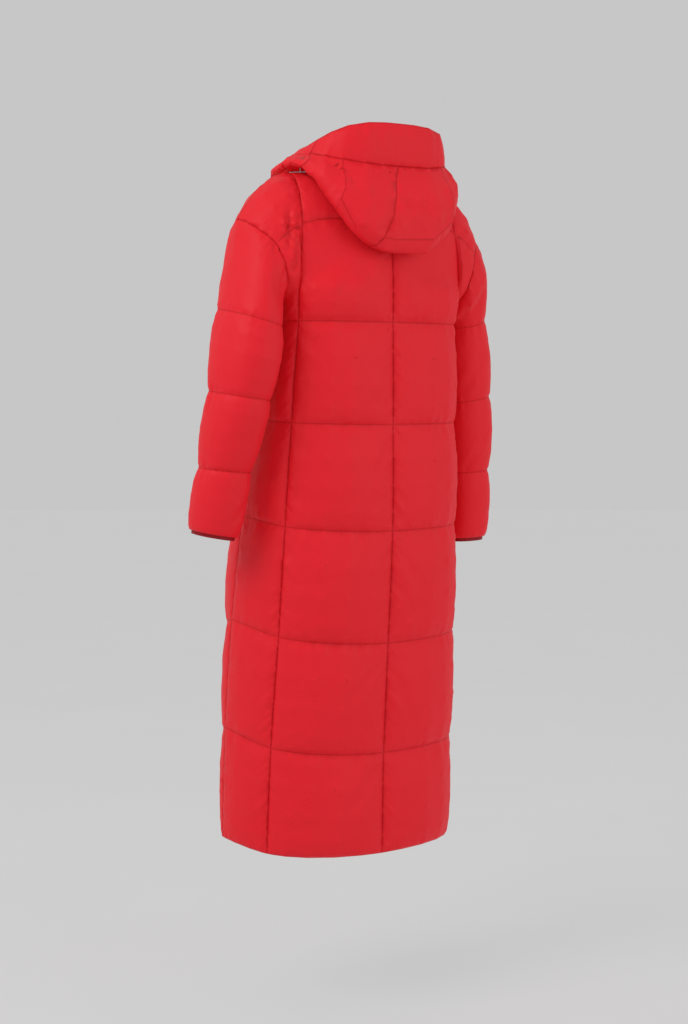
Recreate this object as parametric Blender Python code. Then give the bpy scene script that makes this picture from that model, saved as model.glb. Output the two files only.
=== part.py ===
"""Long quilted puffer coat, worn and hanging, hood down, centre-front zip closed.

Metres, +Z up. The back faces +Y, the front -Y and the wearer's left +X. The origin lies
between the shoulders, where the coat is held up. Every cloth piece is a padded wall: a
plain inner face and an outer face that swells between its seams and quilting rows.
"""
import math

import bmesh
import bpy
from mathutils import Matrix, Vector

# Driving dimensions
SEAM_GAP = 0.0003          # clearance between neighbouring pieces
SHELL = 0.003              # padded wall where a seam pinches it flat
CUFF_WALL = 0.0015         # inner cuff, two layers of plain cloth
HOOD_WALL = 0.0015         # the hood is filled more thinly
BACK_PUFF = 0.014          # how far a filled box stands off its seams
FRONT_PUFF = 0.012
SIDE_PUFF = 0.008
SHOULDER_PUFF = 0.008
SLEEVE_PUFF = 0.008
HOOD_PUFF = 0.009
BAND_PUFF = 0.008
ZIP_SLOT = 0.008           # width left open between the two front edges
TAPE_THICKNESS = 0.001
COIL_WIDTH = 0.0054
COIL_DEPTH = 0.0024
TAPE_CLEARANCE = 0.0009    # from the fronts' inner face to the tape, measured along Y
TAPE_REACH = 0.0095        # from the centre to the tape's far edge
BOX_SIZE = (0.0072, 0.0030)
SLIDER_HEIGHT = 0.015
SLIDER_SIZE = (0.0070, 0.0036, 0.0120)
BAR_REACH = 0.0020         # slider face to crossbar axis
BAR_RADIUS = 0.0007
EYE_RADIUS = 0.0017
EYE_WIDTH = 0.0034
TAB_WIDTH = 0.0068
TAB_THICKNESS = 0.0014
TAB_LENGTH = 0.026
TAB_NECK = 0.0030          # from the crossbar down to the tab's wide part
NECK_LEVEL = 7.0           # level numbers: 0 is the hem, 1 to 6 the quilting rows, 7 the neck
ARMPIT_LEVEL = 5.25
NECK_BACK_SLOPE = (0.1, -1.0, 0.0)
NECK_FRONT_SLOPE = (0.1, 1.0, 0.25)
CORNER_RISE = 0.45         # share of the side's rise that the princess seam has

# Sections of the body, one row a level, for the wearer's left half.
# centre: centre back or front. corner: princess seam. edge: side seam, then armhole.
# lift: how far the shoulder bows up between corner and edge.
LEVEL_COLUMNS = ("centre_y", "centre_z", "corner_x", "corner_y", "corner_z",
                 "edge_x", "edge_y", "edge_z", "lift")
BACK_LEVELS = {
    0.00: (0.1180, -1.173, 0.199, 0.048, -1.173, 0.225, -0.058, -1.173, 0.0),
    1.00: (0.1225, -0.991, 0.197, 0.059, -0.991, 0.222, -0.052, -0.991, 0.0),
    2.00: (0.1355, -0.794, 0.191, 0.075, -0.794, 0.218, -0.036, -0.794, 0.0),
    3.00: (0.1485, -0.595, 0.185, 0.087, -0.595, 0.206, -0.018, -0.595, 0.0),
    4.00: (0.1495, -0.408, 0.177, 0.095, -0.408, 0.192, 0.000, -0.408, 0.0),
    5.00: (0.1490, -0.230, 0.169, 0.105, -0.230, 0.184, 0.020, -0.230, 0.0),
    5.25: (0.1490, -0.195, 0.170, 0.108, -0.197, 0.188, 0.030, -0.205, 0.0),
    5.35: (0.1490, -0.175, 0.171, 0.111, -0.178, 0.190, 0.078, -0.192, 0.0),
    5.50: (0.1485, -0.145, 0.172, 0.114, -0.150, 0.196, 0.114, -0.160, 0.0),
    5.75: (0.1460, -0.105, 0.170, 0.115, -0.112, 0.204, 0.117, -0.130, 0.0),
    6.00: (0.1420, -0.060, 0.165, 0.112, -0.066, 0.215, 0.108, -0.101, 0.003),
    6.35: (0.1300, -0.018, 0.158, 0.096, -0.018, 0.232, 0.090, -0.080, 0.012),
    6.70: (0.1120, 0.010, 0.148, 0.064, 0.018, 0.243, 0.062, -0.063, 0.019),
    7.00: (0.0920, 0.030, 0.137, 0.028, 0.031, 0.247, 0.034, -0.055, 0.022),
}
FRONT_LEVELS = {
    0.00: (-0.1620, -1.173, 0.168, -0.124, -1.173, 0.225, -0.058, -1.173, 0.0),
    1.00: (-0.1620, -0.991, 0.170, -0.124, -0.991, 0.222, -0.052, -0.991, 0.0),
    2.00: (-0.1600, -0.794, 0.170, -0.118, -0.794, 0.218, -0.036, -0.794, 0.0),
    3.00: (-0.1520, -0.595, 0.163, -0.109, -0.595, 0.206, -0.018, -0.595, 0.0),
    4.00: (-0.1430, -0.408, 0.155, -0.101, -0.408, 0.192, 0.000, -0.408, 0.0),
    5.00: (-0.1360, -0.230, 0.150, -0.093, -0.230, 0.184, 0.020, -0.230, 0.0),
    5.25: (-0.1350, -0.192, 0.150, -0.090, -0.195, 0.188, 0.030, -0.205, 0.0),
    5.35: (-0.1340, -0.176, 0.150, -0.088, -0.178, 0.189, -0.002, -0.192, 0.0),
    5.50: (-0.1330, -0.154, 0.151, -0.086, -0.150, 0.193, -0.026, -0.160, 0.0),
    5.75: (-0.1310, -0.122, 0.152, -0.084, -0.112, 0.201, -0.041, -0.128, 0.0),
    6.00: (-0.1280, -0.098, 0.152, -0.074, -0.068, 0.211, -0.042, -0.102, 0.003),
    6.35: (-0.1240, -0.079, 0.150, -0.048, -0.022, 0.224, -0.026, -0.080, 0.010),
    6.70: (-0.1200, -0.061, 0.144, -0.007, 0.016, 0.237, 0.004, -0.063, 0.017),
    7.00: (-0.1160, -0.045, 0.137, 0.028, 0.031, 0.247, 0.034, -0.055, 0.022),
}
# The rows run up a little towards the side seams, more on the wearer's left.
SIDE_RISE = {  # level: (left, right)
    0.00: (0.026, 0.004),
    1.00: (0.042, 0.010),
    2.00: (0.040, 0.015),
    3.00: (0.025, 0.012),
    4.00: (0.008, 0.005),
    5.00: (0.0, 0.0),
    7.00: (0.0, 0.0),
}

# Sleeve sections from the cap to the cuff. tilt: rise of the section along +X and +Y.
SLEEVE_COLUMNS = ("x", "y", "z", "half_x", "half_y", "tilt_x", "tilt_y")
SLEEVE_SQUARENESS = 2.3
LEFT_SLEEVE = {
    0.45: (0.222, 0.048, -0.168, 0.031, 0.072, 1.75, 0.00),
    1.00: (0.243, 0.066, -0.225, 0.044, 0.070, 0.25, -0.14),
    2.00: (0.263, 0.064, -0.358, 0.047, 0.057, 0.13, -0.09),
    3.00: (0.277, 0.038, -0.485, 0.042, 0.045, 0.08, -0.06),
    4.00: (0.289, 0.020, -0.595, 0.040, 0.040, 0.15, -0.10),
}
RIGHT_SLEEVE = {
    0.45: (0.225, 0.034, -0.166, 0.033, 0.076, 1.65, 0.00),
    1.00: (0.243, 0.010, -0.218, 0.044, 0.070, 0.25, -0.14),
    2.00: (0.261, 0.009, -0.362, 0.047, 0.057, 0.16, -0.05),
    3.00: (0.274, 0.003, -0.498, 0.042, 0.045, 0.08, -0.04),
    4.00: (0.286, -0.013, -0.624, 0.040, 0.040, 0.05, -0.03),
}

# Rings of the hood, from just past the neck seam, down under the fold at the back, out
# over its belly and up to the band's seam (4) and top edge (5).
# shift_x: towards the wearer's left. bow: low where the edge falls fast from the back.
HOOD_COLUMNS = ("half_x", "side_y", "back_y", "front_y", "side_z", "back_z", "front_z",
                "shift_x", "bow")
HOOD_SQUARENESS = (3.2, 2.0)      # back, front
HOOD_RINGS = {
    0.5: (0.141, 0.030, 0.110, -0.114, 0.036, 0.045, -0.038, 0.000, 2.0),
    1.0: (0.147, 0.032, 0.152, -0.113, 0.039, -0.035, -0.031, 0.000, 2.0),
    1.6: (0.152, 0.033, 0.161, -0.112, 0.042, -0.102, -0.025, 0.000, 2.0),
    2.0: (0.156, 0.034, 0.176, -0.112, 0.045, -0.112, -0.020, -0.002, 2.0),
    2.4: (0.157, 0.034, 0.191, -0.112, 0.049, -0.100, -0.015, -0.004, 2.0),
    3.0: (0.154, 0.034, 0.190, -0.112, 0.054, -0.042, -0.008, -0.006, 2.0),
    4.0: (0.146, 0.034, 0.151, -0.112, 0.060, 0.040, 0.004, -0.010, 1.8),
    5.0: (0.135, 0.036, 0.149, -0.112, 0.072, 0.114, 0.036, -0.015, 1.0),
}
HOOD_SEAM_SHARE = 0.82     # hood side seam, as a share of the way from centre back to corner
HOOD_DRIFT = {0.0: 0.0, 1.0: 0.08, 2.0: 0.158, 3.0: 0.05, 4.0: 0.0, 5.0: 0.0}

POUCH_RINGS = (0.0, 0.15, 0.4, 0.7, 1.0, 1.4, 1.75, 2.0, 2.2, 2.5, 2.9, 3.3, 3.7, 4.0)
BAND_RINGS = (4.0, 4.12, 4.4, 4.75, 5.0)
BAND_TOP = 5.0

# Places of the mesh points across each panel and up each row, closer at the seams.
BACK_SHARES = (0.0, 0.06, 0.2, 0.42, 0.64, HOOD_SEAM_SHARE, 0.95, 1.0)
SIDE_SHARES = (0.0, 0.1, 0.32, 0.62, 0.88, 1.0)
FRONT_SHARES = (0.0, 0.06, 0.25, 0.5, 0.75, 1.0)
ROW_SHARES = (0.0, 0.05, 0.18, 0.42, 0.7, 0.93)
CHEST_SHARES = (0.0, 0.08, 0.25, 0.35, 0.5, 0.75, 0.94)
INNER_SHARES = (0.0, 0.42)

RED = (0.72, 0.020, 0.028)
DARK_RED = (0.42, 0.010, 0.016)
METAL = (0.62, 0.62, 0.64)


def table_row(table, at):
    """The table's columns at a value between its rows, on a smooth curve through them."""
    knots = sorted(table)
    at = min(max(at, knots[0]), knots[-1])
    after = next(i for i, knot in enumerate(knots[1:], 1) if at <= knot)
    k0, k1 = knots[after - 1], knots[after]
    span = k1 - k0
    s = (at - k0) / span

    def slope(i, column):
        low, high = max(i - 1, 0), min(i + 1, len(knots) - 1)
        rise = table[knots[high]][column] - table[knots[low]][column]
        return rise / (knots[high] - knots[low])

    return [hermite(a, b, slope(after - 1, c) * span, slope(after, c) * span, s)
            for c, (a, b) in enumerate(zip(table[k0], table[k1]))]


def hermite(start, end, start_slope, end_slope, s):
    return (start * (2 * s ** 3 - 3 * s ** 2 + 1) + start_slope * (s ** 3 - 2 * s ** 2 + s)
            + end * (3 * s ** 2 - 2 * s ** 3) + end_slope * (s ** 3 - s ** 2))


def smooth(s):
    s = min(max(s, 0.0), 1.0)
    return s * s * (3 - 2 * s)


def swell(share, fullness=0.5):
    """Height of a filled box across one of its directions: 0 at both seams, 1 between."""
    return math.sin(math.pi * min(max(share, 0.0), 1.0)) ** fullness


def row_swell(level):
    """The filling sinks, so a row is fullest below its middle."""
    return swell((level - math.floor(level)) ** 0.85)


# The body's surface

def key_points(levels, level, rise_column):
    """Centre, corner and edge of one level, and its lift."""
    row = dict(zip(LEVEL_COLUMNS, table_row(levels, level)))
    low = level <= ARMPIT_LEVEL      # side seam below the armpit, armhole above it
    part = {k: v for k, v in levels.items() if k == ARMPIT_LEVEL or (k < ARMPIT_LEVEL) == low}
    for name, value in zip(LEVEL_COLUMNS[5:8], table_row(part, level)[5:8]):
        row[name] = value
    rise = table_row(SIDE_RISE, level)[rise_column]
    centre = Vector((0.0, row["centre_y"], row["centre_z"]))
    corner = Vector((row["corner_x"], row["corner_y"], row["corner_z"] + CORNER_RISE * rise))
    edge = Vector((row["edge_x"], row["edge_y"], row["edge_z"] + rise))
    return centre, corner, edge, row["lift"]


def body_point(side, levels, across, level):
    """A point of the body: across 0 is the centre, 1 the princess line, 2 the edge."""
    rise_column = 0 if side > 0 else 1
    centre, corner, edge, lift = key_points(levels, level, rise_column)
    inner, outer = (corner - centre).length, (edge - corner).length
    corner_slope = ((corner - centre) / inner * outer + (edge - corner) / outer * inner)
    corner_slope /= inner + outer
    at_neck = smooth((level - 6.35) / (NECK_LEVEL - 6.35))
    if across <= 1.0:
        round_neck = NECK_BACK_SLOPE if levels is BACK_LEVELS else NECK_FRONT_SLOPE
        reach = inner * (1.0 - 0.25 * at_neck)
        end_slope = corner_slope.lerp(Vector(round_neck), at_neck) * reach
        point = hermite(centre, corner, Vector((reach, 0.0, 0.0)), end_slope, across)
    else:
        corner_slope = corner_slope.lerp((edge - corner) / outer, at_neck)
        free_slope = (edge - corner) / outer * 1.5 - corner_slope * 0.5
        other = FRONT_LEVELS if levels is BACK_LEVELS else BACK_LEVELS
        far_corner = key_points(other, level, rise_column)[1]
        beyond = (far_corner - edge).length
        joined_slope = ((edge - corner) / outer * beyond + (far_corner - edge) / beyond * outer)
        joined_slope /= outer + beyond
        freed = smooth((level - ARMPIT_LEVEL) / 0.25)
        edge_slope = joined_slope.lerp(free_slope, freed)
        s = across - 1.0
        point = hermite(corner, edge, corner_slope * outer, edge_slope * outer, s)
        point.z += lift * 4 * s * (1 - s)
    return Vector((side * point.x, point.y, point.z))


def body_frame(side, levels, across, level):
    """The point there and three directions: out of the cloth, outwards and up along it."""
    step = 0.01
    top = ARMPIT_LEVEL if level <= ARMPIT_LEVEL else NECK_LEVEL
    low, high = max(level - step, 0.0), min(level + step, top)
    near, far = max(across - step, 0.0), min(across + step, 2.0)
    up = body_point(side, levels, across, high) - body_point(side, levels, across, low)
    out = body_point(side, levels, far, level) - body_point(side, levels, near, level)
    normal = out.cross(up).normalized()
    point = body_point(side, levels, across, level)
    if normal.dot(point - Vector((0.0, 0.01, point.z - 0.03))) < 0:
        normal.negate()
    # front and back share one direction along the shoulder seam
    _, corner, edge, _ = key_points(levels, level, 0)
    seam = (edge - corner).normalized()
    seam.x *= side
    upright = (Vector((0, 0, 1)) - seam * seam.z).normalized()
    near_seam = smooth((across - 0.8) / 0.2) * smooth((level - 6.7) / 0.3)
    normal = normal.lerp(upright, near_seam).normalized()
    up.normalize()
    out = (out - up * out.dot(up)).normalized()
    return point, normal, out, up


def body_levels():
    """Every level that has mesh points, and the few that the plain inner face keeps."""
    outer, inner = [], []
    for row in range(7):
        for share in CHEST_SHARES if row == 5 else ROW_SHARES:
            outer.append(row + share)
            if row >= 5 or share in INNER_SHARES:
                inner.append(row + share)
    return outer + [NECK_LEVEL], inner + [NECK_LEVEL]


def body_puff(levels, first, last, across, level):
    share = (across - first) / (last - first)
    height = FRONT_PUFF if levels is FRONT_LEVELS else BACK_PUFF
    under_arm = smooth((across - 0.9) / 0.7)
    height += (SIDE_PUFF - height) * under_arm
    near_armpit = smooth(level - 4.0) * (1.0 - smooth((level - 5.3) / 0.3))
    height *= 1.0 - 0.9 * under_arm * near_armpit      # the sleeve presses the side flat
    if level > 5.9:      # the hood lies on the upper back
        height += (SHOULDER_PUFF - height) * smooth((level - 5.9) / 0.3)
        height *= 1.0 - 0.5 * smooth((level - 6.5) / 0.5) * (1.0 - smooth(across - 1.0))
    return height * swell(share) * row_swell(level)


# Mesh building

def add_object(name, mesh_data, colour, roughness, metallic=0.0):
    mesh = bpy.data.meshes.new(name)
    mesh_data.normal_update()
    mesh_data.to_mesh(mesh)
    mesh_data.free()
    mesh.shade_smooth()
    item = bpy.data.objects.new(name, mesh)
    bpy.context.scene.collection.objects.link(item)
    material = bpy.data.materials.new(name)
    material.use_nodes = True
    shader = material.node_tree.nodes["Principled BSDF"]
    shader.inputs["Base Color"].default_value = (*colour, 1.0)
    shader.inputs["Roughness"].default_value = roughness
    shader.inputs["Metallic"].default_value = metallic
    mesh.materials.append(material)
    return item


def bridge_chain(data, outer, inner, keep, flip):
    """Faces between a fine outer chain and an inner one that keeps only some of its points."""
    def face(*points):
        data.faces.new(points[::-1] if flip else points)

    for n in range(len(keep) - 1):
        first, last = keep[n], keep[n + 1]
        middle = (first + last + 1) // 2
        for j in range(first, last):
            hub = inner[n] if j < middle else inner[n + 1]
            face(outer[j], outer[j + 1], hub)
            if j + 1 == middle:
                face(outer[middle], inner[n + 1], inner[n])


def padded_wall(name, outer, inner, keep, closed=False, colour=RED, roughness=0.42):
    """One cloth piece from its outer and inner grids of points, [across][along].

    The inner grid has only the levels whose places in the outer grid are in keep. A
    closed piece is a tube; an open one also has rims along its first and last columns.
    """
    data = bmesh.new()
    out = [[data.verts.new(p) for p in column] for column in outer]
    ins = [[data.verts.new(p) for p in column] for column in inner]

    def face(*points):
        data.faces.new(points)

    columns = len(out)
    for i in range(columns if closed else columns - 1):
        here, after = i, (i + 1) % columns
        for j in range(len(out[0]) - 1):
            face(out[here][j], out[after][j], out[after][j + 1], out[here][j + 1])
        for j in range(len(ins[0]) - 1):
            face(ins[here][j], ins[here][j + 1], ins[after][j + 1], ins[after][j])
        face(out[here][0], ins[here][0], ins[after][0], out[after][0])
        face(out[here][-1], out[after][-1], ins[after][-1], ins[here][-1])
    if not closed:
        bridge_chain(data, out[0], ins[0], keep, False)
        bridge_chain(data, out[-1], ins[-1], keep, True)
    bmesh.ops.recalc_face_normals(data, faces=data.faces[:])
    return add_object(name, data, colour, roughness)


def pair(point, normal, puff, wall=SHELL):
    """Outer and inner point of a padded wall at one place of its surface."""
    return point + normal * puff, point - normal * wall


def body_panel(name, side, levels, places, first, last):
    fine, coarse = body_levels()
    keep = [fine.index(level) for level in coarse]
    centre_gap = ZIP_SLOT / 2 if levels is FRONT_LEVELS else SEAM_GAP / 2
    outer, inner = [], []
    for place in places:
        out_column, in_column = [], []
        for level in fine:
            point, normal, out, up = body_frame(side, levels, place, level)
            if place == first and first > 0:
                point += out * SEAM_GAP / 2
            elif place == last:
                point -= out * SEAM_GAP / 2
            if level == NECK_LEVEL:
                point -= up * SEAM_GAP / 2
            if place == 0.0:
                point.x = side * centre_gap
            puff = body_puff(levels, first, last, place, level)
            out_point, in_point = pair(point, normal, puff)
            out_column.append(out_point)
            if level in coarse:
                in_column.append(in_point)
        outer.append(out_column)
        inner.append(in_column)
    return padded_wall(name, outer, inner, keep)


def build_body():
    for side, word in ((1, "left"), (-1, "right")):
        body_panel(f"back_{word}", side, BACK_LEVELS, BACK_SHARES, 0.0, 1.0)
        side_places = [1.0 + share for share in SIDE_SHARES]
        body_panel(f"side_back_{word}", side, BACK_LEVELS, side_places, 1.0, 2.0)
        front_places = list(FRONT_SHARES) + side_places[1:]
        body_panel(f"front_{word}", side, FRONT_LEVELS, front_places, 0.0, 2.0)


# Sleeves

def armhole_loop(side):
    """The armhole from the armpit up the back, over the shoulder and down the front."""
    fine, _ = body_levels()
    levels = [level for level in fine if level >= ARMPIT_LEVEL]
    back = [(BACK_LEVELS, level) for level in levels]
    front = [(FRONT_LEVELS, level) for level in levels[-2:0:-1]]
    loop = []
    for table, level in back + front:
        point, normal = body_frame(side, table, 2.0, level)[:2]
        inward = Vector((-side, 0.0, 0.0))
        turned = 1.0 - smooth((level - ARMPIT_LEVEL) / 0.5)
        normal = (normal * (1.0 - turned) + inward * turned).normalized()
        loop.append((point + Vector((side * SEAM_GAP, 0.0, 0.0)), normal))
    return loop, len(levels) - 1


def loop_shares(loop, top):
    """How far round each armhole point lies: 0 at the armpit, 1 at the shoulder, 2 back."""
    count = len(loop)
    lengths = [0.0]
    for i in range(count):
        lengths.append(lengths[-1] + (loop[(i + 1) % count][0] - loop[i][0]).length)
    shares = []
    for i in range(count):
        if i <= top:
            shares.append(lengths[i] / lengths[top])
        else:
            shares.append(1 + (lengths[i] - lengths[top]) / (lengths[-1] - lengths[top]))
    return shares


def superellipse(angle, squareness):
    c, s = math.cos(angle), math.sin(angle)
    power = 2 / squareness
    return math.copysign(abs(c) ** power, c), math.copysign(abs(s) ** power, s)


def sleeve_ring(side, row, share):
    part = dict(zip(SLEEVE_COLUMNS, row))
    c, s = superellipse(math.pi * (1 - share), SLEEVE_SQUARENESS)
    dx, dy = part["half_x"] * c, part["half_y"] * s
    height = part["z"] + part["tilt_x"] * dx + part["tilt_y"] * dy
    return Vector((side * (part["x"] + dx), part["y"] + dy, height))


def sleeve_grid(side, table, places):
    """Columns of (point, outward direction) down the sleeve, one for each armhole point."""
    loop, top = armhole_loop(side)
    shares = loop_shares(loop, top)
    count = len(loop)
    knots = sorted(table)
    grid = []
    for i, (start, _) in enumerate(loop):
        even = i / top if i <= top else 1 + (i - top) / (count - top)
        track = {0.0: tuple(start)}
        for knot in knots:
            share = shares[i] + (even - shares[i]) * smooth((knot - 0.45) / 0.55)
            track[knot] = tuple(sleeve_ring(side, table[knot], share))
        grid.append([Vector(table_row(track, place)) for place in places])
    frames = []
    middles = [sum(ring, Vector()) / count for ring in zip(*grid)]
    for i, column in enumerate(grid):
        frame_column = []
        for j, point in enumerate(column):
            low, high = max(j - 1, 0), min(j + 1, len(column) - 1)
            along = (column[high] - column[low]).normalized()
            radius = point - middles[j]
            normal = (radius - along * radius.dot(along)).normalized()
            normal = loop[i][1].lerp(normal, smooth(places[j] / 0.3)).normalized()
            frame_column.append((point, normal))
        frames.append(frame_column)
    return frames, shares


def build_sleeve(word, side, table):
    fine = [row + share for row in range(4) for share in ROW_SHARES] + [4.0]
    cap = list(ROW_SHARES)      # the cap bends most, so its inner face keeps every place
    coarse = cap + [row + share for row in (1, 2, 3) for share in INNER_SHARES] + [4.0]
    keep = [fine.index(place) for place in coarse]
    frames, shares = sleeve_grid(side, table, fine)
    outer, inner = [], []
    for column, share in zip(frames, shares):
        facing_body = 0.5 + 0.5 * math.cos(math.pi * share)
        pairs = []
        for frame, place in zip(column, fine):
            pressed = facing_body + (0.85 * facing_body ** 2 - facing_body) * smooth(place)
            pairs.append(pair(*frame, SLEEVE_PUFF * (1.0 - pressed) * row_swell(place)))
        outer.append([p[0] for p in pairs])
        inner.append([pairs[j][1] for j in keep])
    padded_wall(f"sleeve_{word}", outer, inner, keep, closed=True)

    cuff_places = [3.72, 3.86, 4.0, 4.06]
    last = dict(table)
    step = [b - a for a, b in zip(table[3.0], table[4.0])]
    last[4.5] = tuple(value + 0.5 * change for value, change in zip(table[4.0], step))
    frames, _ = sleeve_grid(side, last, cuff_places)
    outer, inner = [], []
    for column in frames:
        depth = SHELL + 0.0012
        outer.append([point - normal * depth for point, normal in column[1:]])
        inner.append([point - normal * (depth + CUFF_WALL) for point, normal in column[1:]])
    padded_wall(f"cuff_{word}", outer, inner, range(3), closed=True, colour=DARK_RED)


# Hood

def hood_ring(side, row, across):
    part = dict(zip(HOOD_COLUMNS, row))
    angle = math.pi / 2 * (1 - across)
    c, s = superellipse(angle, HOOD_SQUARENESS[0 if across <= 1.0 else 1])
    end_y = part["back_y"] if across <= 1.0 else part["front_y"]
    end_z = part["back_z"] if across <= 1.0 else part["front_z"]
    height = part["side_z"] + (end_z - part["side_z"]) * abs(math.sin(angle)) ** part["bow"]
    shift = part["shift_x"] * (1.0 - smooth(across - 1.0))
    return Vector((side * part["half_x"] * c + shift,
                   part["side_y"] + (end_y - part["side_y"]) * abs(s), height))


def hood_point(side, across, ring):
    """Across runs from 0, centre back, over 1, the shoulder, to 2, the front edge."""
    drift = table_row({k: (v,) for k, v in HOOD_DRIFT.items()}, ring)[0]
    shifted = across + side * drift * max(0.0, 1.0 - across)
    levels = BACK_LEVELS if across <= 1.0 else FRONT_LEVELS
    start = body_point(side, levels, min(across, 2.0 - across), NECK_LEVEL)
    start.z += SEAM_GAP
    track = {0.0: tuple(start)}
    for knot, row in HOOD_RINGS.items():
        if shifted >= 0.0:
            track[knot] = tuple(hood_ring(side, row, shifted))
        else:
            track[knot] = tuple(hood_ring(-side, row, -shifted))
    return Vector(table_row(track, ring))


def hood_frame(side, across, ring):
    low, high = max(ring - 0.15, 0.0), min(ring + 0.15, BAND_TOP)
    near, far = max(across - 0.04, 0.0), min(across + 0.04, 2.0)
    up = hood_point(side, across, high) - hood_point(side, across, low)
    out = hood_point(side, far, ring) - hood_point(side, near, ring)
    normal = (up.cross(out) * side).normalized()
    up.normalize()
    out = (out - up * out.dot(up)).normalized()
    return hood_point(side, across, ring), normal, out, up


def hood_panel(name, columns, rings, puff, wall):
    """columns: (side, across, share of the way over the piece); rings from seam to seam."""
    outer, inner = [], []
    widest = max(across for _, across, _ in columns)
    for side, across, share in columns:
        out_column, in_column = [], []
        for ring in rings:
            point, normal, out, up = hood_frame(side, across, ring)
            if ring == rings[0] and ring > 0:
                point += up * SEAM_GAP / 2
            elif ring == rings[-1] and ring < BAND_TOP:
                point -= up * SEAM_GAP / 2
            if across == 2.0:
                point.x = side * ZIP_SLOT / 2
            elif share in (0.0, 1.0):
                point += out * SEAM_GAP / 2 * (-1 if across == widest else 1)
            along = (ring - rings[0]) / (rings[-1] - rings[0])
            low_sides = 0.2 + 0.8 * max(0.0, 1.0 - across) ** 0.5
            outside = smooth((ring - 1.8) / 0.6)      # the underside lies flat on the back
            height = puff * swell(share) * swell(along) * low_sides * outside
            out_point, in_point = pair(point, normal, height, wall)
            out_column.append(out_point)
            in_column.append(in_point)
        outer.append(out_column)
        inner.append(in_column)
    return padded_wall(name, outer, inner, list(range(len(rings))))


def build_hood():
    places = list(BACK_SHARES) + [2.0 - share for share in reversed(FRONT_SHARES[:-1])]
    seam = places.index(HOOD_SEAM_SHARE)
    centre, outside = places[:seam + 1], places[seam:]

    def columns(side, part):
        return [(side, place, (place - part[0]) / (part[-1] - part[0])) for place in part]

    for side, word in ((1, "left"), (-1, "right")):
        hood_panel(f"hood_centre_{word}", columns(side, centre), POUCH_RINGS, HOOD_PUFF, HOOD_WALL)
        hood_panel(f"hood_side_{word}", columns(side, outside), POUCH_RINGS, HOOD_PUFF, HOOD_WALL)
        hood_panel(f"hood_band_{word}", columns(side, outside), BAND_RINGS, BAND_PUFF, SHELL)
    left = [(1, place, 0.5 + 0.5 * place / HOOD_SEAM_SHARE) for place in centre]
    right = [(-1, place, 0.5 - 0.5 * place / HOOD_SEAM_SHARE) for place in centre[:0:-1]]
    hood_panel("hood_band_back", right + left, BAND_RINGS, BAND_PUFF, SHELL)


# Zip

def front_line(place):
    """Points up the front from hem to band top, moved in to the fronts' inner face."""
    _, coarse = body_levels()
    line = []
    for level in coarse[:-1]:
        line.append(body_point(1, FRONT_LEVELS, place, level) + Vector((0, SHELL, 0)))
    for ring in sorted(set(POUCH_RINGS + BAND_RINGS)):
        line.append(hood_point(1, 2.0 - place, ring) + Vector((0, SHELL, 0)))
    return line


def tape_edge(side):
    """The tape's far edge, on the flat that each front has next to the zip."""
    edge = []
    for start, end in zip(front_line(0.0), front_line(FRONT_SHARES[1])):
        start.x = ZIP_SLOT / 2
        point = start.lerp(end, (TAPE_REACH - start.x) / (end.x - start.x))
        edge.append(Vector((side * point.x, point.y, point.z)))
    return edge


def zip_strip(name, columns, front, depth, roughness):
    """A strip that starts a little inside the fronts' inner face and is some depth thick."""
    outer = [[point + Vector((0, front, 0)) for point in line] for line in columns]
    inner = [[point + Vector((0, front + depth, 0)) for point in line] for line in columns]
    keep = list(range(len(columns[0])))
    return padded_wall(name, outer, inner, keep, colour=DARK_RED, roughness=roughness)


def at_x(line, x):
    return [Vector((x, point.y, point.z)) for point in line]


def bevelled_box(name, size, location, bevel, colour, roughness, metallic):
    data = bmesh.new()
    bmesh.ops.create_cube(data, size=1.0)
    bmesh.ops.scale(data, vec=size, verts=data.verts)
    bmesh.ops.bevel(data, geom=data.edges[:], offset=bevel, segments=2, affect="EDGES",
                    profile=0.5)
    item = add_object(name, data, colour, roughness, metallic)
    item.location = location
    return item


def rod_along_x(name, radius, length, location):
    data = bmesh.new()
    bmesh.ops.create_cone(data, cap_ends=True, segments=20, radius1=radius, radius2=radius,
                          depth=length)
    turn = Matrix.Rotation(math.pi / 2, 3, "Y")
    bmesh.ops.rotate(data, verts=data.verts, matrix=turn)
    item = add_object(name, data, METAL, 0.3, 1.0)
    item.location = location
    return item


def combine(target, other, operation):
    """Join or cut with another shape, which stays as a guide that is not part of the coat."""
    other.hide_render = True
    other.display_type = "WIRE"
    change = target.modifiers.new(other.name, "BOOLEAN")
    change.operation = operation
    change.object = other


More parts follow.
